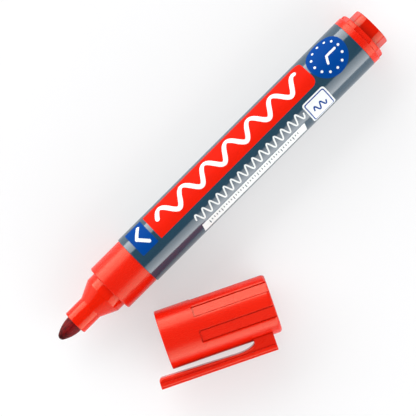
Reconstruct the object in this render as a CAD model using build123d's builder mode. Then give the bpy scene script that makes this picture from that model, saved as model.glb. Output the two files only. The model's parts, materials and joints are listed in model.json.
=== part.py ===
from build123d import *
from math import cos, hypot, isclose, radians, sin
import os

# Whiteboard marker lying on its side, with its pull-off cap laid down beside it.
# +X runs along the marker from nib to rear and +Z is up. The origin is on the marker's
# axis, where the front section's collar meets the barrel. All sizes are in millimetres.

os.makedirs("parts", exist_ok=True)

# ---- Driving dimensions ----

barrel_diameter = 17.0
barrel_wall = 0.6
barrel_length = 92.0

collar_diameter = 16.3
collar_length = 12.0
collar_round = 0.5
neck_diameter = 13.0
neck_length = 2.8
cone_length = 5.2
nozzle_diameter = 8.0
nozzle_length = 6.7
nozzle_round = 0.3
spigot_length = 12.0
moulding_wall = 1.2
guide_rib_count = 6
guide_rib_width = 0.9
rib_overlap = 0.3
vent_count = 4
vent_width = 0.7
vent_depth = 0.35

nib_diameter = 5.5
nib_length_shown = 6.5
nib_tip_radius = 1.3
nib_running_clearance = 0.05
nib_depth_in_filler = 4.0
nib_end_chamfer = 0.6

filler_diameter = 14.6
film_thickness = 0.2

plug_skirt_length = 8.0
plug_skirt_wall = 1.0
plug_ring_diameter = 16.9
plug_ring_length = 2.35
plug_ring_bevel = 0.15
plug_shoulder_diameter = 16.4
plug_shoulder_length = 1.55
plug_shoulder_round = 0.6
knob_diameter = 12.8
knob_length = 3.7
knob_round = 0.4
knob_bore_diameter = 9.8
knob_flat_count = 5
knob_flat_distance = 5.9
knob_flat_width = 5.0
shoulder_notch_distance = 7.4
shoulder_notch_width = 6.2

cap_diameter = 18.3
cap_length = 34.8
cap_seat_clearance = 0.05
cap_seat_depth = 13.0
cap_bore_step = 0.4
cap_end_wall = 1.2
cap_end_round = 1.1
cap_mouth_round = 0.3
cap_band_length = 11.1
cap_panel_count = 5
cap_panel_first_angle = 75.0
cap_panel_last_angle = 285.0
cap_panel_width = 3.75
cap_panel_distance = 8.66

liner_wall = 1.1
liner_flange = 1.2
liner_clearance = 0.15
liner_short_of_cone = 1.9

clip_outer_distance = 13.7
clip_overhang = 5.0
clip_bend_station = 20.0
clip_gap_end = 25.6
clip_rear = 31.8
clip_gap_at_mouth = 1.3
clip_gap_at_bend = 1.9
clip_plate_width = 9.8
clip_plate_thickness = 1.8
clip_rib_width = 9.0
clip_edge_round = 0.5
clip_nose_round = 1.0
clip_kerf = 0.1

cap_centre_x = 4.1
cap_centre_y = -30.0
cap_turn = -25.9  # of the cap's axis, mouth to closed end, from +X about +Z

# ---- Derived sizes along the marker ----

barrel_radius = barrel_diameter / 2
barrel_bore = barrel_radius - barrel_wall
collar_radius = collar_diameter / 2
neck_radius = neck_diameter / 2
neck_bore = neck_radius - moulding_wall
nozzle_radius = nozzle_diameter / 2
nib_radius = nib_diameter / 2
nib_bore = nib_radius + nib_running_clearance
filler_radius = filler_diameter / 2
film_radius = filler_radius + film_thickness
skirt_bore = barrel_bore - plug_skirt_wall
ring_radius = plug_ring_diameter / 2
plug_shoulder_radius = plug_shoulder_diameter / 2
knob_radius = knob_diameter / 2
knob_bore = knob_bore_diameter / 2

shoulder_x = -collar_length
neck_x = shoulder_x - neck_length
cone_x = neck_x - cone_length
lip_x = cone_x - nozzle_length
tip_x = lip_x - nib_length_shown
filler_x = spigot_length
filler_end_x = barrel_length - plug_skirt_length
filler_length = filler_end_x - filler_x
ring_end_x = barrel_length + plug_ring_length
knob_x = ring_end_x + plug_shoulder_length
knob_end_x = knob_x + knob_length


def rim(part, radius, x):
    """The part's circular edges of this radius at this station along the marker."""
    circles = part.edges().filter_by(GeomType.CIRCLE)
    right_size = [edge for edge in circles if isclose(edge.radius, radius, abs_tol=0.01)]
    return [edge for edge in right_size if isclose(edge.arc_center.X, x, abs_tol=0.01)]


# ---- Barrel: a thin drawn tube ----

with BuildPart() as barrel:
    with BuildSketch(Plane.YZ):
        Circle(barrel_radius)
        Circle(barrel_bore, mode=Mode.SUBTRACT)
    extrude(amount=barrel_length)

barrel.part.label = "barrel"
export_step(barrel.part, "parts/barrel.step")

# ---- Front section: nozzle, cone, neck and collar in one hollow moulding ----
# Its spigot fills the front of the barrel, and its collar is the seat of the cap.

cavity_step_x = shoulder_x + moulding_wall
cavity_cone_x = neck_x + moulding_wall / 2
bore_end_x = cone_x + moulding_wall

with BuildPart() as front_section:
    with BuildSketch():
        with BuildLine():
            Polyline(
                (lip_x, nib_bore),
                (lip_x, nozzle_radius),
                (cone_x, nozzle_radius),
                (neck_x, neck_radius),
                (shoulder_x, neck_radius),
                (shoulder_x, collar_radius),
                (0, collar_radius),
                (0, barrel_bore),
                (spigot_length, barrel_bore),
                (spigot_length, skirt_bore),
                (cavity_step_x, skirt_bore),
                (cavity_step_x, neck_bore),
                (cavity_cone_x, neck_bore),
                (bore_end_x, nib_bore),
                close=True,
            )
        make_face()
    revolve(axis=Axis.X)
    fillet(rim(front_section, nozzle_radius, lip_x), radius=nozzle_round)
    fillet(rim(front_section, collar_radius, shoulder_x), radius=collar_round)
    # Ribs that keep the nib's stem on the axis and carry the filler's front end.
    for rib_x, rib_end_x, cavity_radius in (
        (cavity_cone_x, cavity_step_x, neck_bore),
        (cavity_step_x, spigot_length, skirt_bore),
    ):
        rib_height = cavity_radius - nib_bore + rib_overlap
        with BuildSketch(Plane.YZ.offset(rib_x)):
            with PolarLocations(nib_bore + rib_height / 2, guide_rib_count):
                Rectangle(rib_height, guide_rib_width)
        extrude(amount=rib_end_x - rib_x)
    # Vent grooves along the nozzle's bore, where air goes in as ink is drawn out.
    with BuildSketch(Plane.YZ.offset(lip_x)):
        with PolarLocations(nib_bore, vent_count, start_angle=45):
            Rectangle(2 * vent_depth, vent_width)
    extrude(amount=bore_end_x - lip_x + vent_depth, mode=Mode.SUBTRACT)

front_section.part.label = "front_section"
export_step(front_section.part, "parts/front_section.step")

# ---- Nib: a bonded fibre rod with a bullet point, pushed through the nozzle into the filler ----

# The point's side is an arc that meets the rod at the nozzle's lip and the round tip at join.
tip_centre_x = tip_x + nib_tip_radius
side_radius = ((lip_x - tip_centre_x) ** 2 + nib_radius**2 - nib_tip_radius**2) / (
    2 * (nib_radius - nib_tip_radius)
)
side_centre_r = nib_radius - side_radius
centre_distance = hypot(tip_centre_x - lip_x, side_centre_r)
join_x = lip_x + (tip_centre_x - lip_x) * side_radius / centre_distance
join_r = side_centre_r * (1 - side_radius / centre_distance)
nib_end_x = filler_x + nib_depth_in_filler

with BuildPart() as nib:
    with BuildSketch():
        with BuildLine():
            tip_arc = TangentArc((tip_x, 0), (join_x, join_r), tangent=(0, 1))
            TangentArc((join_x, join_r), (lip_x, nib_radius), tangent=tip_arc % 1)
            Polyline(
                (lip_x, nib_radius),
                (nib_end_x - nib_end_chamfer, nib_radius),
                (nib_end_x, nib_radius - nib_end_chamfer),
                (nib_end_x, 0),
                (tip_x, 0),
            )
        make_face()
    revolve(axis=Axis.X)

nib.part.label = "nib"
export_step(nib.part, "parts/nib.step")

# ---- Ink filler: a fibre rod with a socket for the nib's stem, in a sleeve of film ----

with BuildPart() as ink_filler:
    with BuildSketch(Plane.YZ.offset(filler_x)):
        Circle(filler_radius)
    extrude(amount=filler_length)
    with BuildSketch(Plane.YZ.offset(filler_x)):
        Circle(nib_bore)
    extrude(amount=nib_depth_in_filler, mode=Mode.SUBTRACT)

ink_filler.part.label = "ink_filler"
export_step(ink_filler.part, "parts/ink_filler.step")

with BuildPart() as filler_film:
    with BuildSketch(Plane.YZ.offset(filler_x)):
        Circle(film_radius)
        Circle(filler_radius, mode=Mode.SUBTRACT)
    extrude(amount=filler_length)

filler_film.part.label = "filler_film"
export_step(filler_film.part, "parts/filler_film.step")

# ---- End plug: a skirt in the barrel, an outer ring with a shoulder, and a knob with flats ----

plug_cavity_x = barrel_length + moulding_wall / 2
knob_cavity_end_x = knob_end_x - moulding_wall

with BuildPart() as end_plug:
    with BuildSketch():
        with BuildLine():
            Polyline(
                (filler_end_x, skirt_bore),
                (filler_end_x, barrel_bore),
                (barrel_length, barrel_bore),
                (barrel_length, ring_radius),
                (ring_end_x - plug_ring_bevel, ring_radius),
                (ring_end_x, plug_shoulder_radius),
                (knob_x, plug_shoulder_radius),
                (knob_x, knob_radius),
                (knob_end_x, knob_radius),
                (knob_end_x, 0),
                (knob_cavity_end_x, 0),
                (knob_cavity_end_x, knob_bore),
                (plug_cavity_x, knob_bore),
                (plug_cavity_x, skirt_bore),
                close=True,
            )
        make_face()
    revolve(axis=Axis.X)
    fillet(rim(end_plug, plug_shoulder_radius, knob_x), radius=plug_shoulder_round)
    fillet(rim(end_plug, knob_radius, knob_end_x), radius=knob_round)
    # Each flat on the knob runs on into a wider, shallower notch in the shoulder.
    for start_x, length, distance, width in (
        (knob_x, knob_length, knob_flat_distance, knob_flat_width),
        (ring_end_x, plug_shoulder_length, shoulder_notch_distance, shoulder_notch_width),
    ):
        cut_depth = barrel_radius - distance
        with BuildSketch(Plane.YZ.offset(start_x)):
            with PolarLocations(distance + cut_depth / 2, knob_flat_count, start_angle=90):
                Rectangle(cut_depth, width)
        extrude(amount=length, mode=Mode.SUBTRACT)

end_plug.part.label = "end_plug"
export_step(end_plug.part, "parts/end_plug.step")

# ---- Cap frame ----
# Stations run from the cap's mouth to its closed end, and distances out from its axis
# towards the clip, which points level and away from the marker.

cap_radius = cap_diameter / 2
cap_seat_bore = collar_radius + cap_seat_clearance
cap_bore = cap_seat_bore - cap_bore_step
cap_bore_end = cap_length - cap_end_wall
cap_axis = Vector(cos(radians(cap_turn)), sin(radians(cap_turn)), 0)
clip_direction = Vector(sin(radians(cap_turn)), -cos(radians(cap_turn)), 0)
cap_centre = Vector(cap_centre_x, cap_centre_y, cap_radius - barrel_radius)
cap_mouth = cap_centre - cap_axis * (cap_length / 2)
across_cap = Plane(origin=cap_mouth, x_dir=clip_direction, z_dir=cap_axis)
along_cap = Plane(origin=cap_mouth, x_dir=cap_axis, z_dir=(0, 0, -1))
cap_line = Axis(cap_mouth, cap_axis)
clip_line = Axis(cap_mouth, clip_direction)

clip_plate_distance = clip_outer_distance - clip_plate_thickness
clip_inner_at_mouth = cap_radius + clip_gap_at_mouth
clip_inner_at_bend = cap_radius + clip_gap_at_bend
clip_inner_slope = (clip_inner_at_bend - clip_inner_at_mouth) / clip_bend_station
clip_inner_at_nose = clip_inner_at_mouth - clip_inner_slope * clip_overhang

# ---- Cap shell: a cup with a plain band at the mouth, flat panels behind it and the clip's root ----

with BuildPart() as cap_shell:
    with BuildSketch(across_cap):
        Circle(cap_radius)
    extrude(amount=cap_length)
    end_rims = cap_shell.edges().filter_by(GeomType.CIRCLE).sort_by(cap_line)
    fillet(end_rims[0], radius=cap_mouth_round)
    fillet(end_rims[-1], radius=cap_end_round)
    panel_cut = cap_radius - cap_panel_distance
    panel_angles = cap_panel_last_angle - cap_panel_first_angle
    with BuildSketch(across_cap.offset(cap_band_length)):
        with PolarLocations(
            cap_panel_distance + panel_cut / 2,
            cap_panel_count,
            start_angle=cap_panel_first_angle,
            angular_range=panel_angles,
            endpoint=True,
        ):
            Rectangle(panel_cut, cap_panel_width)
    extrude(amount=cap_length - cap_band_length, mode=Mode.SUBTRACT)
    # The clip's root: the web sweeps up from the shell to the clip along a quarter of an ellipse.
    with BuildSketch(along_cap):
        with BuildLine():
            EllipticalCenterArc(
                (clip_bend_station, cap_radius),
                clip_gap_end - clip_bend_station,
                clip_gap_at_bend,
                start_angle=0,
                arc_size=90,
            )
            Polyline(
                (clip_bend_station, clip_inner_at_bend),
                (clip_bend_station, clip_plate_distance),
                (clip_rear, clip_plate_distance),
                (clip_rear, 0),
                (clip_gap_end, 0),
                (clip_gap_end, cap_radius),
            )
        make_face()
    extrude(amount=clip_rib_width / 2, both=True)
    with BuildSketch(along_cap):
        with BuildLine():
            Polyline(
                (clip_bend_station, clip_plate_distance),
                (clip_bend_station, clip_outer_distance),
                (clip_rear, clip_outer_distance),
                (clip_rear, clip_plate_distance),
                close=True,
            )
        make_face()
    extrude(amount=clip_plate_width / 2, both=True)
    root_edges = cap_shell.faces().sort_by(clip_line)[-1].edges()
    fillet(root_edges.filter_by(cap_line), radius=clip_edge_round)
    # The bore is a seat for the marker's collar, with a slightly narrower hollow behind it.
    for bore_radius, depth in ((cap_seat_bore, cap_seat_depth), (cap_bore, cap_bore_end)):
        with BuildSketch(across_cap):
            Circle(bore_radius)
        extrude(amount=depth, mode=Mode.SUBTRACT)

cap_shell.part.label = "cap_shell"
export_step(cap_shell.part, "parts/cap_shell.step")

# ---- Cap clip: the free arm of the clip, which bends out about the edge where it meets its root ----

arm_end = clip_bend_station - clip_kerf

with BuildPart() as cap_clip:
    with BuildSketch(along_cap) as arm_rib:
        with BuildLine():
            Polyline(
                (-clip_overhang, clip_inner_at_nose),
                (-clip_overhang, clip_plate_distance),
                (arm_end, clip_plate_distance),
                (arm_end, clip_inner_at_bend),
                close=True,
            )
        make_face()
        nose_corner = arm_rib.vertices().sort_by(Axis.Y)[0]
        fillet(nose_corner, radius=clip_nose_round)
    extrude(amount=clip_rib_width / 2, both=True)
    with BuildSketch(along_cap):
        with BuildLine():
            Polyline(
                (-clip_overhang, clip_plate_distance),
                (-clip_overhang, clip_outer_distance),
                (arm_end, clip_outer_distance),
                (arm_end, clip_plate_distance),
                close=True,
            )
        make_face()
    extrude(amount=clip_plate_width / 2, both=True)
    arm_edges = cap_clip.faces().sort_by(clip_line)[-1].edges()
    fillet(arm_edges.filter_by(cap_line), radius=clip_edge_round)

cap_clip.part.label = "cap_clip"
export_step(cap_clip.part, "parts/cap_clip.step")

# ---- Cap liner: a flanged sleeve at the cap's closed end that seals around the nozzle ----

liner_bore = nozzle_radius + liner_clearance
liner_mouth = -cone_x + liner_short_of_cone
liner_flange_station = cap_bore_end - liner_flange

with BuildPart() as cap_liner:
    with BuildSketch(along_cap):
        with BuildLine():
            Polyline(
                (liner_mouth, liner_bore),
                (liner_mouth, liner_bore + liner_wall),
                (liner_flange_station, liner_bore + liner_wall),
                (liner_flange_station, cap_bore),
                (cap_bore_end, cap_bore),
                (cap_bore_end, liner_bore),
                close=True,
            )
        make_face()
    revolve(axis=cap_line)

cap_liner.part.label = "cap_liner"
export_step(cap_liner.part, "parts/cap_liner.step")
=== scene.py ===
import json
from math import acos, atan2, ceil, cos, pi, radians, sin, sqrt

import bmesh
import bpy
from mathutils import Matrix, Vector


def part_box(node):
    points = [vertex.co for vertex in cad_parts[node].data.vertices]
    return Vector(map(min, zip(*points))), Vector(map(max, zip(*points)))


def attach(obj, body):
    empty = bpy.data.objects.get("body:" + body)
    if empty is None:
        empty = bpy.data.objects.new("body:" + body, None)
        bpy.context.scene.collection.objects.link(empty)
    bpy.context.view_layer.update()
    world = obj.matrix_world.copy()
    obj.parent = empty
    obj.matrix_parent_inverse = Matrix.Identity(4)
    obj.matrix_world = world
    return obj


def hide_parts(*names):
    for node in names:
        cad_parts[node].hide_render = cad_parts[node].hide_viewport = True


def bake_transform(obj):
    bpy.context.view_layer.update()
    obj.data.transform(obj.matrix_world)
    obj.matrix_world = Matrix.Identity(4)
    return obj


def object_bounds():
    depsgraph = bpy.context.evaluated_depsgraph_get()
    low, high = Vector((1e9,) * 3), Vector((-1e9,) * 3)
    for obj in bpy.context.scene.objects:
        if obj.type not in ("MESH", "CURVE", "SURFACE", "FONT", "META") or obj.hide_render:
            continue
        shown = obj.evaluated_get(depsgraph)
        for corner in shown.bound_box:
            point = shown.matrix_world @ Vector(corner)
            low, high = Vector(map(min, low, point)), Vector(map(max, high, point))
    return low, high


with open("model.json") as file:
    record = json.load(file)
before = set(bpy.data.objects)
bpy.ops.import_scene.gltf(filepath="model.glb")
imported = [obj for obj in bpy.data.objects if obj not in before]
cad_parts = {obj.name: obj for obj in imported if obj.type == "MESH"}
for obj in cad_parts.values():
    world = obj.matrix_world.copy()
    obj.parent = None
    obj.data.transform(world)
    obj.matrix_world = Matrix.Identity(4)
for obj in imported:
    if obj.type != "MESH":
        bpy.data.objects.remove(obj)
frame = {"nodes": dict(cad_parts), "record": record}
cad_low, cad_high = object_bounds()

# A whiteboard marker lies uncapped on a pale floor, with its clip cap beside it.
# Lengths are in millimetres until a mesh is finished, and then in metres.
# Along the marker, x runs from nib to rear. In the cap's own frame, x runs from its mouth to
# its closed end, y points away from the clip, and z is up.

MM = 0.001
UP = Vector((0, 0, 1))


# ---------------------------------------------------------------- Sizes

def node_box(node):
    """A CAD node's lowest and highest corners, in millimetres."""
    low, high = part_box(node)
    return low / MM, high / MM


mounts = {mount["name"]: mount for mount in frame["record"]["mounts"]}
barrel_high = node_box("barrel")[1]
front_low, front_high = node_box("front_section")
plug_low, plug_high = node_box("end_plug")
nib_low, nib_high = node_box("nib")

BARREL_R = mounts["barrel_grip"]["dims"]["r_mm"]
BARREL_END = barrel_high.x
BARREL_WALL = 0.6
BARREL_BORE = BARREL_R - BARREL_WALL

COLLAR_R = mounts["cap_seat"]["dims"]["r_mm"]
COLLAR_LENGTH = 12.0
NECK_R = 6.5
NECK_LENGTH = 2.8
CONE_LENGTH = 5.2
NOZZLE_R = mounts["nozzle_seal"]["dims"]["r_mm"]
SHOULDER_X = -COLLAR_LENGTH
NECK_X = SHOULDER_X - NECK_LENGTH
CONE_X = NECK_X - CONE_LENGTH
LIP_X = front_low.x
SPIGOT_END = front_high.x
MOULDING_WALL = 1.2
SKIRT_WALL = 1.0
SKIRT_BORE = BARREL_BORE - SKIRT_WALL
CAVITY_R = NECK_R - MOULDING_WALL
CAVITY_X = NECK_X + MOULDING_WALL / 2
CAVITY_STEP_X = SHOULDER_X + MOULDING_WALL
RIB_COUNT = 6
RIB_WIDTH = 0.9

NIB_R = nib_high.z
NIB_CLEARANCE = 0.05
NIB_BORE = NIB_R + NIB_CLEARANCE
NIB_TIP_R = 1.3
NIB_CHAMFER = 0.6
TIP_X = nib_low.x
NIB_END = nib_high.x
VENT_COUNT = 4
VENT_WIDTH = 0.7
VENT_DEPTH = 0.35
VENT_FLOOR = NIB_BORE + VENT_DEPTH

SKIRT_X = plug_low.x
RING_R = plug_high.z
RING_LENGTH = 2.35
RING_BEVEL = 0.15
RING_END = BARREL_END + RING_LENGTH
SHOULDER_R = 8.2
SHOULDER_LENGTH = 1.55
KNOB_X = RING_END + SHOULDER_LENGTH
KNOB_R = 6.4
KNOB_END = plug_high.x
KNOB_BORE = 4.9
FLAT_COUNT = 5
KNOB_FLAT = 5.9
NOTCH_FLOOR = 7.4

CAP_R = 9.15
CAP_LENGTH = 34.8
CAP_END_WALL = 1.2
CAP_END_ROUND = 1.1
CAP_FLOOR = CAP_LENGTH - CAP_END_WALL
SEAT_BORE = mounts["cap_bore"]["dims"]["r_mm"]
SEAT_DEPTH = mounts["cap_bore"]["dims"]["length_mm"]
SEAT_STEP = 0.4
CAP_BORE = SEAT_BORE - SEAT_STEP
CAP_BAND = 11.1
PANEL_COUNT = 5
PANEL_FIRST = 75.0
PANEL_SPACING = 52.5
PANEL_WIDTH = 3.75
PANEL_FLOOR = 8.66
TRENCH_WIDTH = 0.28
TRENCH_FLOOR = 8.38
CHAMFER_WIDTH = 0.25
CHAMFER_DEPTH = 0.1
LINER_BORE = 4.15
LINER_WALL = 1.1
LINER_R = LINER_BORE + LINER_WALL
LINER_MOUTH = 21.9
FLANGE_THICKNESS = 1.2
FLANGE_X = CAP_FLOOR - FLANGE_THICKNESS

CLIP_TOP = 13.7
CLIP_LEDGE = 11.9
CLIP_NOSE = -5.0
CLIP_BEND = 20.0
CLIP_GAP_END = 25.6
CLIP_REAR = 31.8
CLIP_GAP_AT_MOUTH = 1.3
CLIP_GAP_AT_BEND = 1.9
CLIP_PLATE_HALF = 4.9
CLIP_RIB_HALF = 4.5
CLIP_NOSE_ROUND = 1.0
CLIP_EDGE_ROUND = 0.2
CLIP_SCORE = 0.47
CLIP_CROWN = 0.25
CLIP_LINE_WIDTH = 0.16
CLIP_LINE_DEPTH = 0.12

cap_mouth = Vector(mounts["cap_bore"]["pos_m"])
cap_axis = -Vector(mounts["cap_bore"]["axis"]).normalized()
away_from_clip = UP.cross(cap_axis)
cap_turn = Matrix((cap_axis, away_from_clip, UP)).transposed()
CAP_PLACE = Matrix.Translation(cap_mouth) @ cap_turn.to_4x4()
MARKER_PLACE = Matrix.Identity(4)


# ---------------------------------------------------------------- Materials

class Finish:
    """A node material around one Principled shader, with short calls for what feeds it."""

    def __init__(self, name, **values):
        self.material = bpy.data.materials.new(name)
        self.material.use_nodes = True
        self.tree = self.material.node_tree
        self.shader = self.tree.nodes["Principled BSDF"]
        for socket, value in values.items():
            self.shader.inputs[socket.replace("_", " ")].default_value = value
        self.place = self.node("ShaderNodeTexCoord").outputs["Object"]

    def node(self, kind, **settings):
        node = self.tree.nodes.new(kind)
        for setting, value in settings.items():
            setattr(node, setting, value)
        return node

    def link(self, source, target):
        self.tree.links.new(source, target)

    def stretched(self, scale):
        """Object coordinates scaled unevenly, so that a pattern runs along one direction."""
        mapping = self.node("ShaderNodeMapping")
        mapping.inputs["Scale"].default_value = scale
        self.link(self.place, mapping.inputs["Vector"])
        return mapping.outputs["Vector"]

    def noise(self, scale, detail=3.0, roughness=0.55, place=None):
        texture = self.node("ShaderNodeTexNoise")
        texture.inputs["Scale"].default_value = scale
        texture.inputs["Detail"].default_value = detail
        texture.inputs["Roughness"].default_value = roughness
        self.link(place or self.place, texture.inputs["Vector"])
        return texture.outputs["Fac"]

    def along(self):
        """The place along the marker's x axis."""
        split = self.node("ShaderNodeSeparateXYZ")
        self.link(self.place, split.inputs["Vector"])
        return split.outputs["X"]

    def flakes(self, scale):
        """A random grey for each tiny cell."""
        texture = self.node("ShaderNodeTexVoronoi")
        texture.inputs["Scale"].default_value = scale
        self.link(self.place, texture.inputs["Vector"])
        grey = self.node("ShaderNodeRGBToBW")
        self.link(texture.outputs["Color"], grey.inputs["Color"])
        return grey.outputs["Val"]

    def remap(self, value, low, high, start=0.3, end=0.7):
        """The value, with start..end stretched to low..high."""
        ramp = self.node("ShaderNodeMapRange")
        ramp.inputs["From Min"].default_value = start
        ramp.inputs["From Max"].default_value = end
        ramp.inputs["To Min"].default_value = low
        ramp.inputs["To Max"].default_value = high
        self.link(value, ramp.inputs["Value"])
        return ramp.outputs["Result"]

    def add(self, first, second, share=1.0):
        """first + share * second."""
        total = self.node("ShaderNodeMath", operation="MULTIPLY_ADD")
        self.link(second, total.inputs[0])
        total.inputs[1].default_value = share
        self.link(first, total.inputs[2])
        return total.outputs[0]

    def colour_between(self, share, first, second):
        ramp = self.node("ShaderNodeMix", data_type="RGBA")
        self.link(share, ramp.inputs["Factor"])
        ramp.inputs[6].default_value = (*first, 1)
        ramp.inputs[7].default_value = (*second, 1)
        self.link(ramp.outputs[2], self.shader.inputs["Base Color"])

    def roughness(self, value):
        self.link(value, self.shader.inputs["Roughness"])

    def bump(self, height, distance):
        node = self.node("ShaderNodeBump")
        node.inputs["Strength"].default_value = 1.0
        node.inputs["Distance"].default_value = distance
        self.link(height, node.inputs["Height"])
        self.link(node.outputs["Normal"], self.shader.inputs["Normal"])


def moulded_plastic(name, deep, light, gloss, mirrored=(1, 1, 1, 1), painted_shade_span=None):
    """Injection-moulded plastic: faint flow marks, hairline scuffs and a fine skin. mirrored is the
    tint of what it reflects. The last argument, if given, is a place along the marker, in metres,
    where the colour is darkest with painted shade, and the one where the painted shade has faded
    out."""
    finish = Finish(name, IOR=1.4, Specular_Tint=mirrored)
    flow = finish.noise(60.0, detail=2.0)
    tone = finish.remap(flow, 0, 1)
    # Painted shade: the colour is darkest at the first place and lightens to the second, standing
    # in for the shadow of the step there.
    if painted_shade_span:
        out_of_shade = finish.remap(finish.along(), 0, 0.9, *painted_shade_span)
        tone = finish.add(out_of_shade, tone, 0.1)
    finish.colour_between(tone, deep, light)
    hairlines = finish.noise(1.0, 6.0, 0.7, place=finish.stretched((500, 7000, 7000)))
    scuffs = finish.remap(hairlines, 0, 0.03, 0.5, 0.8)
    finish.roughness(finish.add(finish.remap(flow, gloss, gloss + 0.02), scuffs))
    finish.bump(finish.noise(6500.0, detail=2.0), 0.0000015)
    return finish.material


def pigment_lacquer(name):
    """Slate lacquer over metal: fine flakes in a blue-grey pigment under a strong gloss."""
    finish = Finish(name, IOR=1.72)
    drift = finish.noise(1.0, 2.0, place=finish.stretched((12, 90, 90)))
    tone = finish.add(finish.remap(drift, 0, 0.35), finish.flakes(14000.0), 0.65)
    finish.colour_between(tone, (0.009, 0.034, 0.058), (0.019, 0.054, 0.085))
    rubbed = finish.noise(1.0, 5.0, place=finish.stretched((120, 1500, 1500)))
    finish.roughness(finish.remap(rubbed, 0.10, 0.15))
    finish.bump(finish.noise(7000.0, detail=2.0), 0.000002)
    return finish.material


def printed_ink(name, full, thin):
    """Screen-printed ink: even and satin, a little thin in places."""
    finish = Finish(name, IOR=1.45, Specular_IOR_Level=0.03)
    cover = finish.noise(420.0, 5.0, 0.7)
    finish.colour_between(finish.remap(cover, 0, 1, 0.45, 0.75), full, thin)
    finish.roughness(finish.remap(cover, 0.42, 0.55))
    finish.bump(finish.noise(9000.0, detail=2.0), 0.000003)
    return finish.material


def felt(name, wet, dry):
    """Bonded fibre soaked in ink: streaks along the rod, wetter and darker towards the point."""
    finish = Finish(name, IOR=1.4, Specular_IOR_Level=0.12)
    fibres = finish.noise(1.0, 7.0, 0.7, place=finish.stretched((420, 2400, 2400)))
    patches = finish.noise(650.0)
    dark_length = 4.0
    from_tip = finish.remap(finish.along(), -0.3, 0.1, TIP_X * MM, (TIP_X + dark_length) * MM)
    share = finish.add(finish.add(from_tip, fibres, 2.5), patches, 0.5)
    finish.colour_between(finish.remap(share, 0, 1, 1.1, 1.95), wet, dry)
    finish.roughness(finish.remap(fibres, 0.32, 0.5))
    finish.bump(finish.add(fibres, patches, 0.6), 0.00009)
    return finish.material


def thin_film(name):
    """Milky film with faint lengthwise creases, pink from the ink behind it."""
    finish = Finish(name, IOR=1.5)
    creases = finish.noise(1.0, 4.0, place=finish.stretched((60, 900, 900)))
    finish.colour_between(finish.remap(creases, 0, 1), (0.60, 0.38, 0.36), (0.74, 0.58, 0.56))
    finish.roughness(finish.remap(creases, 0.2, 0.35))
    finish.bump(creases, 0.00004)
    return finish.material


def floor_paper(name):
    """A plain pale surface with barely visible mottling. It glows a little, as a light table
    does, so that the shadows on it stay pale."""
    glow = {"Emission_Color": (1, 1, 1, 1), "Emission_Strength": 0.5}
    finish = Finish(name, Specular_IOR_Level=0.1, **glow)
    mottle = finish.noise(14.0, 4.0)
    finish.colour_between(mottle, (0.35, 0.35, 0.355), (0.37, 0.37, 0.375))
    finish.roughness(finish.remap(mottle, 0.85, 0.95))
    return finish.material


WARM = (1.0, 1.0, 0.68, 1)
# The knob's plastic is drawn darker than the rest of the moulding, and darkest over its root beside
# the shoulder: painted shade, not a different plastic.
PAINTED_SHADE_LENGTH = 2.4
knob_shade_span = (KNOB_X * MM, (KNOB_X + PAINTED_SHADE_LENGTH) * MM)
red_gloss = moulded_plastic("red_gloss", (0.60, 0.0080, 0.0008), (0.64, 0.0100, 0.0012), 0.12, WARM)
red_satin = moulded_plastic("red_satin", (0.59, 0.0060, 0.0004), (0.63, 0.0080, 0.0007), 0.26, WARM)
red_knob_painted_shade = moulded_plastic(
    "red_knob_painted_shade", (0.39, 0.0050, 0.0004), (0.54, 0.0066, 0.0006), 0.12, WARM, knob_shade_span
)
liner_plastic = moulded_plastic("liner_plastic", (0.66, 0.64, 0.58), (0.71, 0.69, 0.64), 0.35)
lacquer = pigment_lacquer("slate_lacquer")
white_ink = printed_ink("print_white", (0.68, 0.71, 0.70), (0.62, 0.65, 0.65))
red_ink = printed_ink("print_red", (0.62, 0.0105, 0.0025), (0.57, 0.0100, 0.0028))
blue_ink = printed_ink("print_blue", (0.0003, 0.042, 0.225), (0.001, 0.046, 0.215))
slate_ink = printed_ink("print_slate", (0.03, 0.05, 0.075), (0.04, 0.06, 0.085))
nib_felt = felt("nib_felt", (0.022, 0.0012, 0.0015), (0.200, 0.005, 0.007))
filler_felt = felt("filler_fibre", (0.26, 0.015, 0.015), (0.48, 0.04, 0.04))
film = thin_film("filler_film")


# ---------------------------------------------------------------- Mesh building

SHARP_ANGLE = radians(32)
ROUND_STEPS = 6
FINE_TURN = radians(2.5)
FINISH_MARGIN = 0.05


def finished(name, bm, materials, place=MARKER_PLACE):
    """Turns a bmesh in millimetres into a smooth-shaded piece with crisp corners."""
    bmesh.ops.remove_doubles(bm, verts=bm.verts, dist=1e-5)
    bmesh.ops.recalc_face_normals(bm, faces=bm.faces)
    for face in bm.faces:
        face.smooth = True
    for edge in bm.edges:
        if edge.is_manifold and edge.calc_face_angle() > SHARP_ANGLE:
            edge.smooth = False
    bm.transform(Matrix.Scale(MM, 4))
    mesh = bpy.data.meshes.new(name)
    bm.to_mesh(mesh)
    bm.free()
    for material in materials:
        mesh.materials.append(material)
    piece = bpy.data.objects.new(name, mesh)
    piece.matrix_world = place
    bpy.context.scene.collection.objects.link(piece)
    weighted = piece.modifiers.new("even_normals", "WEIGHTED_NORMAL")
    weighted.keep_sharp = True
    return piece


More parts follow.
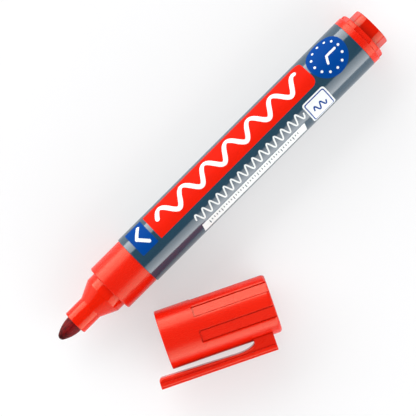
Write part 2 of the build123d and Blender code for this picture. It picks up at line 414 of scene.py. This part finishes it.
def rounded(points, closed=False):
    """A path of (x, r) or (x, r, fillet) points, with each corner that has a fillet rounded."""
    path = []
    last = len(points) - 1
    for i, (x, r, *fillet) in enumerate(points):
        here = Vector((x, r))
        if not fillet or (not closed and i in (0, last)):
            path.append((x, r))
            continue
        before = (Vector(points[i - 1][:2]) - here).normalized()
        after = (Vector(points[(i + 1) % len(points)][:2]) - here).normalized()
        half = before.angle(after) / 2
        centre = here + (before + after).normalized() * (fillet[0] / sin(half))
        run = fillet[0] / sin(half) * cos(half)
        first = here + before * run - centre
        second = here + after * run - centre
        sweep = pi - 2 * half
        for k in range(ROUND_STEPS + 1):
            t = k / ROUND_STEPS
            spoke = (first * sin((1 - t) * sweep) + second * sin(t * sweep)) / sin(sweep)
            path.append(tuple(centre + spoke))
    return path


def even_angles(count):
    """Evenly spaced angles for a full turn."""
    return [2 * pi * i / count for i in range(count)]


def turned(stations, angles, closed):
    """A skin over rings about the x axis. A station is (x, radius), and its radius is a number
    or a function of the angle from y towards z. closed joins the last ring to the first."""
    bm = bmesh.new()
    rings = []
    for x, radius in stations:
        if not callable(radius) and radius < 1e-6:
            rings.append([bm.verts.new((x, 0, 0))])
            continue
        reach = [radius(angle) if callable(radius) else radius for angle in angles]
        rings.append([bm.verts.new((x, r * cos(a), r * sin(a))) for r, a in zip(reach, angles)])
    pairs = list(zip(rings, rings[1:]))
    if closed:
        pairs.append((rings[-1], rings[0]))
    for one, two in pairs:
        for i in range(len(angles)):
            j = (i + 1) % len(angles)
            if len(one) == 1:
                bm.faces.new((one[0], two[i], two[j]))
            elif len(two) == 1:
                bm.faces.new((one[i], one[j], two[0]))
            else:
                bm.faces.new((one[i], one[j], two[j], two[i]))
    return bm


def off_centre(angle, centres):
    """The angle to the nearest of these centres."""
    return min(abs((angle - centre + pi) % (2 * pi) - pi) for centre in centres)


def with_flats(radius, floor, centres, half_angle):
    """The outline of a round section that has a flat-floored cut at each centre."""
    def outline(angle):
        off = off_centre(angle, centres)
        return min(radius, floor / cos(off)) if off < half_angle else radius
    return outline


def with_grooves(radius, floor, centres, half_angle):
    """The outline of a bore that has a groove at each centre."""
    def outline(angle):
        return floor if off_centre(angle, centres) < half_angle else radius
    return outline


def cut_angles(centres, half_angle, floor_steps, land_step, trench_angle=0.0, chamfer_angle=0.0):
    """Ring angles with a pair of them, close together, at the edges of every cut, and more for
    the trenches just inside them and the chamfers just outside."""
    wall = radians(0.12)
    angles = []
    for k, centre in enumerate(centres):
        gap = (centres[(k + 1) % len(centres)] - centre) % (2 * pi)
        reach = half_angle - wall
        floor_reach = reach
        if trench_angle:
            inner = half_angle - trench_angle
            floor_reach = inner - wall
            angles += [centre - reach, centre - inner - wall]
        angles += [centre + floor_reach * (2 * i / floor_steps - 1) for i in range(floor_steps + 1)]
        if trench_angle:
            angles += [centre + inner + wall, centre + reach]
        land_start = centre + half_angle + wall
        land = gap - 2 * (half_angle + wall)
        if chamfer_angle:
            angles.append(land_start)
            land_start += chamfer_angle
            land -= 2 * chamfer_angle
        steps = ceil(land / land_step)
        angles += [land_start + land * i / steps for i in range(steps + 1)]
        if chamfer_angle:
            angles.append(land_start + land + chamfer_angle)
    return angles


# ---------------------------------------------------------------- The marker

def barrel():
    """A thin tube with slightly rounded rims."""
    edge = 0.15
    profile = rounded(
        [
            (0, BARREL_BORE, edge),
            (0, BARREL_R, edge),
            (BARREL_END, BARREL_R, edge),
            (BARREL_END, BARREL_BORE, edge),
        ],
        closed=True,
    )
    piece = finished("barrel_tube", turned(profile, even_angles(192), closed=True), [lacquer])
    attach(piece, "marker")
    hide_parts("barrel")


def front_section():
    """A nozzle, cone, neck and collar, with a spigot inside the barrel and vents along its bore.
    The collar and what lies behind it are satin, and what lies in front is glossy."""
    centres = [pi / VENT_COUNT * (2 * k + 1) for k in range(VENT_COUNT)]
    half_angle = VENT_WIDTH / 2 / NIB_BORE
    lip_bevel = 0.12
    vented = with_grooves(NIB_BORE, VENT_FLOOR, centres, half_angle)
    lip_bore = with_grooves(NIB_BORE + lip_bevel, VENT_FLOOR + 0.05, centres, half_angle)
    outside = rounded(
        [
            (LIP_X, NIB_BORE + 0.5),
            (LIP_X, NOZZLE_R, 0.35),
            (CONE_X, NOZZLE_R, 0.5),
            (NECK_X, NECK_R, 0.5),
            (SHOULDER_X, NECK_R, 0.15),
            (SHOULDER_X, COLLAR_R, 0.5),
            (0, COLLAR_R),
            (0, BARREL_BORE),
            (SPIGOT_END, BARREL_BORE, 0.2),
            (SPIGOT_END, SKIRT_BORE, 0.1),
            (CAVITY_STEP_X, SKIRT_BORE, 0.3),
            (CAVITY_STEP_X, CAVITY_R, 0.3),
            (CAVITY_X, CAVITY_R, 0.5),
            (CONE_X + MOULDING_WALL, NIB_BORE + 0.5),
        ]
    )
    inside = [(CONE_X + MOULDING_WALL, vented), (LIP_X + lip_bevel, vented), (LIP_X, lip_bore)]
    angles = cut_angles(centres, half_angle, 4, FINE_TURN)
    bm = turned(outside + inside, angles, closed=True)
    for face in bm.faces:
        face.material_index = int(face.calc_center_median().x > SHOULDER_X - FINISH_MARGIN)
    piece = finished("front_moulding", bm, [red_gloss, red_satin])
    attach(piece, "marker")
    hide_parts("front_section")


def guide_ribs():
    """Ribs inside the front section that hold the nib's stem on the axis and the filler's front
    end in place. Each is a stepped plate with its outer edge sunk a little in the wall."""
    sunk = 0.1
    outline = [
        (CAVITY_X, NIB_BORE),
        (SPIGOT_END, NIB_BORE),
        (SPIGOT_END, SKIRT_BORE + sunk),
        (CAVITY_STEP_X, SKIRT_BORE + sunk),
        (CAVITY_STEP_X, CAVITY_R + sunk),
        (CAVITY_X, CAVITY_R + sunk),
    ]
    bm = bmesh.new()
    for turn in even_angles(RIB_COUNT):
        sides = []
        for across in (-RIB_WIDTH / 2, RIB_WIDTH / 2):
            side = []
            for x, r in outline:
                y = r * cos(turn) - across * sin(turn)
                z = r * sin(turn) + across * cos(turn)
                side.append(bm.verts.new((x, y, z)))
            bm.faces.new(side)
            sides.append(side)
        left, right = sides
        for i in range(len(outline)):
            j = (i + 1) % len(outline)
            bm.faces.new((left[i], left[j], right[j], right[i]))
    piece = finished("guide_ribs", bm, [red_satin])
    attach(piece, "marker")
    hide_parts("front_section")


def nib():
    """A bullet point on a rod: a round tip, a long side arc, and the rod that enters the filler."""
    tip_centre = TIP_X + NIB_TIP_R
    taper = LIP_X - tip_centre
    side_r = (taper**2 + NIB_R**2 - NIB_TIP_R**2) / (2 * (NIB_R - NIB_TIP_R))
    meeting = atan2(side_r - NIB_R, taper)
    tip_steps = 10
    side_steps = 24
    profile = []
    for i in range(tip_steps):
        angle = meeting * i / tip_steps
        profile.append((tip_centre - NIB_TIP_R * cos(angle), NIB_TIP_R * sin(angle)))
    for i in range(side_steps + 1):
        angle = meeting + (pi / 2 - meeting) * i / side_steps
        profile.append((LIP_X - side_r * cos(angle), NIB_R - side_r + side_r * sin(angle)))
    profile += [(NIB_END - NIB_CHAMFER, NIB_R), (NIB_END, NIB_R - NIB_CHAMFER), (NIB_END, 0)]
    piece = finished("nib_rod", turned(profile, even_angles(96), closed=False), [nib_felt])
    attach(piece, "nib")
    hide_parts("nib")


def end_plug():
    """A skirt inside the barrel, a ring behind it, a notched shoulder and a knob with flats. The
    knob is glossy, with painted shade darkening its colour most at its root, and the rest is satin."""
    centres = [pi / 2 + 2 * pi / FLAT_COUNT * k for k in range(FLAT_COUNT)]
    half_angle = acos(KNOB_FLAT / KNOB_R)
    floor_x = BARREL_END + MOULDING_WALL / 2
    step = 0.03

    def notched(r):
        return with_flats(r, NOTCH_FLOOR, centres, half_angle)

    def flatted(r):
        return with_flats(r, KNOB_FLAT, centres, half_angle)

    knob = rounded([(KNOB_END, 0), (KNOB_END, KNOB_R, 0.4), (KNOB_X, KNOB_R)])
    shoulder = rounded(
        [(KNOB_X, KNOB_R + 0.3), (KNOB_X, SHOULDER_R, 0.6), (RING_END + step, SHOULDER_R)]
    )
    ring = rounded(
        [
            (RING_END, SHOULDER_R),
            (RING_END - RING_BEVEL, RING_R, 0.1),
            (BARREL_END, RING_R, 0.12),
            (BARREL_END, BARREL_BORE),
            (SKIRT_X, BARREL_BORE, 0.2),
            (SKIRT_X, SKIRT_BORE, 0.2),
            (floor_x, SKIRT_BORE, 0.3),
            (floor_x, KNOB_BORE, 0.3),
            (KNOB_END - MOULDING_WALL, KNOB_BORE, 0.4),
            (KNOB_END - MOULDING_WALL, 0),
        ]
    )
    stations = [knob[0]]
    stations += [(x, flatted(r)) for x, r in knob[1:]]
    stations += [(x, notched(r)) for x, r in shoulder]
    stations += ring
    angles = cut_angles(centres, half_angle, 16, FINE_TURN)
    bm = turned(stations, angles, closed=False)
    # The knob gets the material with painted shade, and the rest the satin.
    for face in bm.faces:
        face.material_index = int(face.calc_center_median().x < KNOB_X - FINISH_MARGIN)
    piece = finished("rear_plug", bm, [red_knob_painted_shade, red_satin])
    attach(piece, "marker")
    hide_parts("end_plug")


# ---------------------------------------------------------------- The cap

def cap_cup():
    """A cup with a plain band at its mouth and sunk flat panels from there to its closed end.
    A narrow trench runs along each panel's sides and its start, and the land beside it has a
    small chamfer."""
    panels = [radians(180 + PANEL_FIRST + PANEL_SPACING * k) for k in range(PANEL_COUNT)]
    half_angle = atan2(PANEL_WIDTH / 2, PANEL_FLOOR)
    trench_angle = TRENCH_WIDTH / PANEL_FLOOR
    chamfer_angle = CHAMFER_WIDTH / CAP_R
    step = 0.04

    def panelled(r):
        def outline(angle):
            off = off_centre(angle, panels)
            if off > half_angle:
                across = min((off - half_angle) / chamfer_angle, 1)
                return r - CHAMFER_DEPTH * (1 - across)
            floor = PANEL_FLOOR if off < half_angle - trench_angle else TRENCH_FLOOR
            return min(r, floor / cos(off))
        return outline

    trench_start = CAP_BAND + step
    trench_end = trench_start + TRENCH_WIDTH
    closed_end = rounded(
        [(CAP_LENGTH, 0), (CAP_LENGTH, CAP_R, CAP_END_ROUND), (trench_end + step, CAP_R)]
    )
    mouth_and_bore = rounded(
        [
            (CAP_BAND, CAP_R),
            (0, CAP_R, 0.3),
            (0, SEAT_BORE, 0.15),
            (SEAT_DEPTH, SEAT_BORE, 0.1),
            (SEAT_DEPTH, CAP_BORE, 0.1),
            (CAP_FLOOR, CAP_BORE, 0.4),
            (CAP_FLOOR, 0),
        ]
    )
    trench = with_flats(CAP_R, TRENCH_FLOOR, panels, half_angle)
    stations = [closed_end[0]]
    stations += [(x, panelled(r)) for x, r in closed_end[1:]]
    stations += [(trench_end, trench), (trench_start, trench)]
    stations += mouth_and_bore
    angles = cut_angles(panels, half_angle, 8, radians(2.0), trench_angle, chamfer_angle)
    piece = finished("cap_cup", turned(stations, angles, closed=False), [red_satin], CAP_PLACE)
    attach(piece, "cap")
    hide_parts("cap_shell")


def cap_liner():
    """A flanged sleeve at the cap's closed end that seals around the nozzle."""
    profile = rounded(
        [
            (LINER_MOUTH, LINER_BORE, 0.3),
            (LINER_MOUTH, LINER_R, 0.3),
            (FLANGE_X, LINER_R, 0.4),
            (FLANGE_X, CAP_BORE, 0.2),
            (CAP_FLOOR, CAP_BORE),
            (CAP_FLOOR, LINER_BORE),
        ],
        closed=True,
    )
    bm = turned(profile, even_angles(96), closed=True)
    piece = finished("cap_sleeve", bm, [liner_plastic], CAP_PLACE)
    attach(piece, "cap")
    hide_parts("cap_liner")


def clip_underside(x):
    """How far the clip's underside is from the cap's axis: a rounded nose, the arm's slight taper,
    a quarter of an ellipse where the gap ends, and the root's foot sunk in the cup's wall."""
    slope = (CLIP_GAP_AT_BEND - CLIP_GAP_AT_MOUTH) / CLIP_BEND
    arm = CAP_R + CLIP_GAP_AT_MOUTH + slope * x
    from_nose = x - CLIP_NOSE
    if from_nose < CLIP_NOSE_ROUND:
        into_corner = CLIP_NOSE_ROUND - from_nose
        return arm + CLIP_NOSE_ROUND - sqrt(CLIP_NOSE_ROUND**2 - into_corner**2)
    if x <= CLIP_BEND:
        return arm
    if x < CLIP_GAP_END:
        across = (x - CLIP_BEND) / (CLIP_GAP_END - CLIP_BEND)
        return CAP_R + CLIP_GAP_AT_BEND * sqrt(1 - across**2)
    return (CAP_BORE + sqrt(CAP_R**2 - CLIP_RIB_HALF**2)) / 2


def clip_section(x, inset):
    """Half of the clip's outline across the cap, from the middle of its top to that of its
    underside: a crowned plate with a scored line near its edge, and a rib with a rounded edge."""
    top = CLIP_TOP - inset
    ledge = CLIP_LEDGE + inset
    plate = CLIP_PLATE_HALF - inset
    rib = CLIP_RIB_HALF - inset
    under = min(clip_underside(x) + inset, ledge - 0.1)
    rib_top = ledge - min(CLIP_LINE_WIDTH, (ledge - under) / 3)
    score = CLIP_TOP - CLIP_SCORE
    scored = plate - CLIP_CROWN
    corners = [
        (0, top),
        (scored, top, 0.35),
        (scored, score + CLIP_LINE_WIDTH / 2),
        (scored - CLIP_LINE_DEPTH, score),
        (scored, score - CLIP_LINE_WIDTH / 2),
        (plate - 0.05, score - 0.5),
        (plate, score - 0.9),
        (plate, ledge, 0.1),
        (rib - CLIP_LINE_DEPTH, ledge),
        (rib, rib_top),
        (rib, under, min(0.8, (rib_top - under) * 0.8)),
        (0, under),
    ]
    return rounded(corners)


def spaced(start, end, step):
    """Even steps from just after the start to the end."""
    return [start + step * k for k in range(1, round((end - start) / step) + 1)]


def clip_stations():
    """Places along the clip, each with how far its outline is drawn in. They are close together
    on the rounded nose and rear edges, and where the gap's end curves most."""
    nose_start = CLIP_NOSE + CLIP_EDGE_ROUND
    nose_end = CLIP_NOSE + CLIP_NOSE_ROUND
    curve_start = CLIP_GAP_END - 1.1
    body = [nose_start] + spaced(nose_start, nose_end, 0.1)
    body += spaced(nose_end, CLIP_BEND, 0.5)
    body += spaced(CLIP_BEND, curve_start, 0.5)
    curve_steps = 8
    for k in range(1, curve_steps):
        share = sin(pi / 2 * k / curve_steps)
        body.append(curve_start + (CLIP_GAP_END - curve_start) * share)
    body += [CLIP_GAP_END - 0.001, CLIP_GAP_END]
    body += spaced(CLIP_GAP_END, CLIP_GAP_END + 4.5, 1.5)
    angles = [pi / 2 * k / ROUND_STEPS for k in range(ROUND_STEPS + 1)]
    stations = []
    for angle in angles[:-1]:
        inset = CLIP_EDGE_ROUND * (1 - sin(angle))
        stations.append((CLIP_NOSE + CLIP_EDGE_ROUND * (1 - cos(angle)), inset))
    stations += [(x, 0) for x in body]
    for angle in angles:
        inset = CLIP_EDGE_ROUND * (1 - cos(angle))
        stations.append((CLIP_REAR - CLIP_EDGE_ROUND * (1 - sin(angle)), inset))
    return stations


def clip():
    """The clip's arm and root in one skin."""
    bm = bmesh.new()
    rings = []
    for x, inset in clip_stations():
        half = clip_section(x, inset)
        outline = half + [(-z, h) for z, h in reversed(half[1:-1])]
        rings.append([bm.verts.new((x, -h, z)) for z, h in outline])
    for one, two in zip(rings, rings[1:]):
        for i in range(len(one)):
            j = (i + 1) % len(one)
            bm.faces.new((one[i], one[j], two[j], two[i]))
    bm.faces.new(rings[0])
    bm.faces.new(rings[-1])
    piece = finished("clip_arm", bm, [red_satin], CAP_PLACE)
    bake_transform(piece)
    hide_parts("cap_clip")


# ---------------------------------------------------------------- The printing on the barrel
# A print is drawn flat, as (x, s): x along the barrel, and s around it from the top towards
# the cap's side. It is then wrapped around the barrel as a thin closed layer.

def around(degrees):
    """How far round the barrel an angle from the top reaches."""
    return BARREL_R * radians(degrees)


PANEL_FROM = around(-66)
PANEL_TO = around(2.7)


def wrap(name, loops, material, layer):
    """Closed outlines wrapped round the barrel as one print. A higher layer lies over a lower."""
    layer_height = 0.01
    depth = 0.02
    bm = bmesh.new()
    for loop in loops:
        bm.faces.new([bm.verts.new((x, s, 0)) for x, s in loop])
    bmesh.ops.remove_doubles(bm, verts=bm.verts, dist=1e-4)
    bmesh.ops.triangulate(bm, faces=bm.faces)
    low = min(vert.co.y for vert in bm.verts)
    high = max(vert.co.y for vert in bm.verts)
    strip = around(2.0)
    for k in range(1, ceil((high - low) / strip)):
        everything = bm.verts[:] + bm.edges[:] + bm.faces[:]
        bmesh.ops.bisect_plane(
            bm, geom=everything, dist=1e-5, plane_co=(0, low + strip * k, 0), plane_no=(0, 1, 0)
        )
    outer_r = BARREL_R + layer_height * layer
    inner_r = BARREL_R - depth
    lower = {}
    outer_faces = bm.faces[:]
    rim_edges = [edge for edge in bm.edges if edge.is_boundary]
    for vert in bm.verts[:]:
        x, s, _ = vert.co
        angle = s / BARREL_R
        vert.co = (x, -outer_r * sin(angle), outer_r * cos(angle))
        lower[vert] = bm.verts.new((x, -inner_r * sin(angle), inner_r * cos(angle)))
    for face in outer_faces:
        bm.faces.new([lower[vert] for vert in reversed(face.verts)])
    for edge in rim_edges:
        a, b = edge.verts
        bm.faces.new((a, b, lower[b], lower[a]))
    piece = finished(name, bm, [material])
    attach(piece, "marker")


def block(x0, x1, s0, s1, front_round=0.1, rear_round=0.1, slant=0.0):
    """A four-sided outline with rounded corners, its ends leaning by slant."""
    corners = [(x0 + slant, s0, front_round), (x1 + slant, s0, rear_round), (x1, s1, rear_round)]
    corners.append((x0, s1, front_round))
    return rounded(corners, closed=True)


def disc(x, s, radius, count):
    """A round outline of that many points."""
    return [(x + radius * cos(a), s + radius * sin(a)) for a in even_angles(count)]


def stroke(path, width):
    """A line of even width with round ends, as a row of quads and two fans."""
    half = width / 2
    points = [Vector(point) for point in path]
    normals = []
    for i in range(len(points)):
        tangent = (points[min(i + 1, len(points) - 1)] - points[max(i - 1, 0)]).normalized()
        normals.append(Vector((-tangent.y, tangent.x)) * half)
    loops = []
    for i in range(len(points) - 1):
        a, b = points[i], points[i + 1]
        m, n = normals[i], normals[i + 1]
        loops.append([tuple(a + m), tuple(a - m), tuple(b - n), tuple(b + n)])
    for end, normal, side in ((points[0], normals[0], 1), (points[-1], normals[-1], -1)):
        fan = []
        for k in range(9):
            spoke = normal.copy()
            spoke.rotate(Matrix.Rotation(side * pi * k / 8, 2))
            fan.append(tuple(end + spoke))
        loops.append(fan)
    return loops


def wave(x0, x1, s, height, period, count):
    """A sine line along the barrel."""
    path = []
    for i in range(count + 1):
        x = x0 + (x1 - x0) * i / count
        path.append((x, s - height / 2 * sin(2 * pi * (x - x0) / period)))
    return path


def line(start, end, count=8):
    """A straight path in even steps."""
    return [tuple(Vector(start).lerp(Vector(end), k / count)) for k in range(count + 1)]


def emblem():
    """A blue square with a white arrowhead that points to the nib."""
    x0, x1 = 2.35, 8.7
    margin = 1.9
    square = block(x0, x1, PANEL_FROM, PANEL_TO, 0.3, 0.3)
    wrap("print_emblem", [square], blue_ink, 1)
    middle = (PANEL_FROM + PANEL_TO) / 2
    reach = (PANEL_TO - PANEL_FROM) * 0.3
    point = (x0 + margin, middle)
    for name, side, layer in (("a", -1, 2), ("b", 1, 3)):
        path = line((x1 - margin, middle + side * reach), point)
        wrap(f"print_arrow_{name}", stroke(path, 1.1), white_ink, layer)


def red_panel():
    """A long red panel that carries one bold white wave."""
    x0, x1 = 9.9, 75.7
    wrap("print_panel", [block(x0, x1, PANEL_FROM, PANEL_TO, 0.1, 2.2)], red_ink, 1)
    path = wave(x0 + 3.1, x1 - 3.5, (PANEL_FROM + PANEL_TO) / 2, 5.0, 9.4, 480)
    wrap("print_panel_wave", stroke(path, 1.5), white_ink, 2)


def small_wave():
    """A finer white wave beside the red panel."""
    path = wave(21.0, 66.0, around(28), 3.0, 3.0, 600)
    wrap("print_small_wave", stroke(path, 0.5), white_ink, 1)


def ruled_strip():
    """A white strip with slanted ends and a row of ticks."""
    x0, x1 = 20.6, 63.6
    s0, s1 = around(46.5), around(72)
    strip = block(x0, x1, s0, s1, 0.1, 0.1, slant=0.6)
    wrap("print_strip", [strip], white_ink, 1)
    tick_width = 0.28
    tick_foot = s0 + 0.8
    ticks = []
    for k in range(38):
        x = x0 + 3.0 + k
        length = 1.7 if k % 5 == 0 else 0.9
        ticks.append(block(x, x + tick_width, tick_foot, tick_foot + length, 0.05, 0.05))
    wrap("print_strip_ticks", ticks, slate_ink, 2)


def board():
    """A small whiteboard: a white edge, a blue line, a white board and a blue wave on it."""
    x0, x1 = 66.85, 75.85
    s0, s1 = around(14), around(72)
    for name, inset, ink, slot, layer in (
        ("edge", 0.0, white_ink, "print_white", 1),
        ("line", 0.5, blue_ink, "print_blue", 2),
        ("face", 0.85, white_ink, "print_white", 3),
    ):
        corner = 0.9 - inset / 2
        outline = block(x0 + inset, x1 - inset, s0 + inset, s1 - inset, corner, corner)
        wrap(f"print_board_{name}", [outline], ink, layer)
    path = wave(x0 + 2.2, x1 - 2.2, (s0 + s1) / 2, 2.4, 2.3, 80)
    wrap("print_board_wave", stroke(path, 0.5), blue_ink, 4)


def badge():
    """A blue disc with a ring of dots and two clock hands."""
    x, s = 82.8, around(-22.5)
    wrap("print_badge", [disc(x, s, 6.7, 96)], blue_ink, 1)
    ring = 4.9
    dots = []
    for angle in even_angles(12):
        dots.append(disc(x + ring * cos(angle), s + ring * sin(angle), 0.42, 16))
    wrap("print_badge_dots", dots, white_ink, 2)
    for name, angle, length, layer in (("minute", 0.0, 3.4, 2), ("hour", 2.1, 2.3, 3)):
        path = line((x, s), (x + length * cos(angle), s + length * sin(angle)), 6)
        wrap(f"print_badge_{name}", stroke(path, 0.75), white_ink, layer)


# ---------------------------------------------------------------- Building and staging

def refinish(node, material):
    """A CAD node that is shown as it is, with a procedural material."""
    materials = frame["nodes"][node].data.materials
    materials.clear()
    materials.append(material)


def build_object():
    """Every piece of the object, and the finish of the CAD nodes that stay."""
    barrel()
    front_section()
    guide_ribs()
    nib()
    end_plug()
    cap_cup()
    cap_liner()
    clip()
    emblem()
    red_panel()
    small_wave()
    ruled_strip()
    board()
    badge()
    refinish("ink_filler", filler_felt)
    refinish("filler_film", film)


def floor():
    """A round pale floor just under what rests on it."""
    gap = 0.02
    bm = bmesh.new()
    bmesh.ops.create_circle(bm, cap_ends=True, segments=96, radius=3000)
    bm.transform(Matrix.Scale(MM, 4))
    mesh = bpy.data.meshes.new("floor")
    bm.to_mesh(mesh)
    bm.free()
    mesh.materials.append(floor_paper("floor_paper"))
    piece = bpy.data.objects.new("floor", mesh)
    piece.location.z = cad_low.z - gap * MM
    bpy.context.scene.collection.objects.link(piece)


class Sky:
    """The world's light, worked out from the direction in which it is seen."""

    def __init__(self):
        world = bpy.data.worlds.new("studio")
        world.use_nodes = True
        bpy.context.scene.world = world
        self.tree = world.node_tree
        place = self.tree.nodes.new("ShaderNodeTexCoord")
        direction = self.tree.nodes.new("ShaderNodeSeparateXYZ")
        self.tree.links.new(place.outputs["Generated"], direction.inputs["Vector"])
        self.along = direction.outputs["X"]
        self.side = direction.outputs["Y"]
        self.height = direction.outputs["Z"]

    def feed(self, socket, value):
        """A number sets the socket, and an output is linked to it."""
        if isinstance(value, float):
            socket.default_value = value
        else:
            self.tree.links.new(value, socket)

    def reckon(self, operation, *values):
        node = self.tree.nodes.new("ShaderNodeMath")
        node.operation = operation
        for socket, value in zip(node.inputs, values):
            self.feed(socket, value)
        return node.outputs["Value"]

    def remap(self, value, start, end, low, high):
        """low before start, high after end, and a smooth change between them."""
        node = self.tree.nodes.new("ShaderNodeMapRange")
        node.interpolation_type = "SMOOTHSTEP"
        names = ("Value", "From Min", "From Max", "To Min", "To Max")
        for name, setting in zip(names, (value, start, end, low, high)):
            self.feed(node.inputs[name], setting)
        return node.outputs["Result"]

    def shine(self, strength):
        background = self.tree.nodes["Background"]
        background.inputs["Color"].default_value = (1.0, 1.0, 1.0, 1)
        self.tree.links.new(strength, background.inputs["Strength"])


def studio():
    """A long soft box on each side of the marker, from the floor up to 41 degrees from overhead,
    and a dark ceiling between the two. They are brightest at their foot."""
    sky = Sky()
    lean = sky.reckon("ARCTAN2", sky.reckon("ABSOLUTE", sky.side), sky.height)
    box_top = radians(41)
    ceiling = 0.07
    foot = sky.remap(sky.side, -0.3, 0.3, 4.8, 6.0)
    top = sky.remap(sky.side, -0.3, 0.3, 2.1, 3.3)
    box = sky.remap(lean, box_top, pi / 2, top, foot)
    ends = sky.remap(sky.reckon("ABSOLUTE", sky.along), 0.48, 0.66, 1.0, 0.25)
    lit = sky.reckon("MULTIPLY", box, ends)
    above = sky.remap(lean, box_top - 0.02, box_top + 0.03, ceiling, lit)
    sky.shine(sky.remap(sky.height, -0.01, 0.0, 1.0, above))


def overhead_light():
    """A wide light over everything that lights matt surfaces and is not mirrored in gloss."""
    data = bpy.data.lights.new("overhead", "AREA")
    data.shape = "SQUARE"
    data.size = 4.0
    radiance = 0.55
    data.energy = 4 * data.size**2 * radiance
    light = bpy.data.objects.new("overhead", data)
    light.location = (0.03, 0.0, 1.5)
    light.visible_glossy = False
    light.visible_camera = False
    bpy.context.scene.collection.objects.link(light)


def camera():
    """Straight down, with the marker running up to the right as in the picture."""
    data = bpy.data.cameras.new("camera")
    data.sensor_width = 36.0
    height = 0.8
    seen_width = 0.1249
    data.lens = data.sensor_width * height / seen_width
    data.clip_end = 10.0
    eye = bpy.data.objects.new("camera", data)
    eye.location = (0.026, -0.0038, height)
    eye.rotation_euler = (0, 0, radians(-45))
    bpy.context.scene.collection.objects.link(eye)
    bpy.context.scene.camera = eye


build_object()
floor()
studio()
overhead_light()
camera()
bpy.context.scene.view_settings.view_transform = "Standard"
